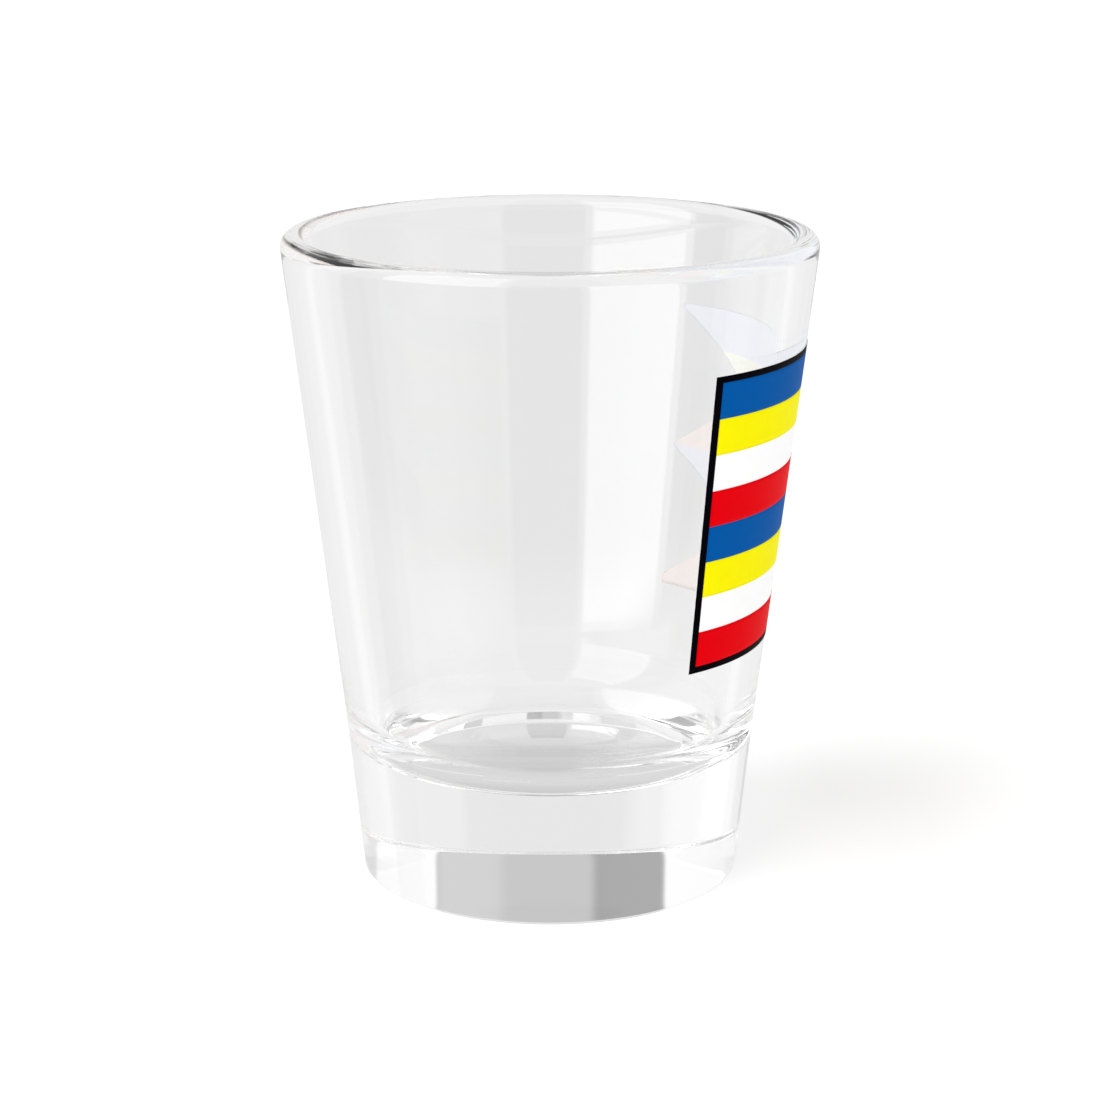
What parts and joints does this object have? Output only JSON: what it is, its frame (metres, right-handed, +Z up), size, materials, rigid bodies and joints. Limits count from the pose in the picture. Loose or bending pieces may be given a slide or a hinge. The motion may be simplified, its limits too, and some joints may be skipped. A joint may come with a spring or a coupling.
{
  "type": "shot glass",
  "caption": "Small thick-based clear glass tumbler with a slightly flared wall, a round rim and a striped fork-tailed flag printed on its side.",
  "frame": {"origin": "centre of the flat resting face", "axes": "+Z up along the glass's axis; +X through the middle of the print; the print's straight edge is towards -Y"},
  "size_m": [0.0486, 0.0486, 0.06],
  "materials": {
    "clear_glass": "clear, polished",
    "white_ink": "opaque white print",
    "blue_ink": "printed ink",
    "yellow_ink": "printed ink",
    "red_ink": "printed ink",
    "black_ink": "printed ink"
  },
  "bodies": {
    "root": {"glass_body": "clear_glass", "white_underbase": "white_ink", "blue_stripe_upper": "blue_ink", "yellow_stripe_upper": "yellow_ink", "red_stripe_upper": "red_ink", "blue_stripe_lower": "blue_ink", "yellow_stripe_lower": "yellow_ink", "red_stripe_lower": "red_ink", "black_border": "black_ink"}
  },
  "joints": []
}
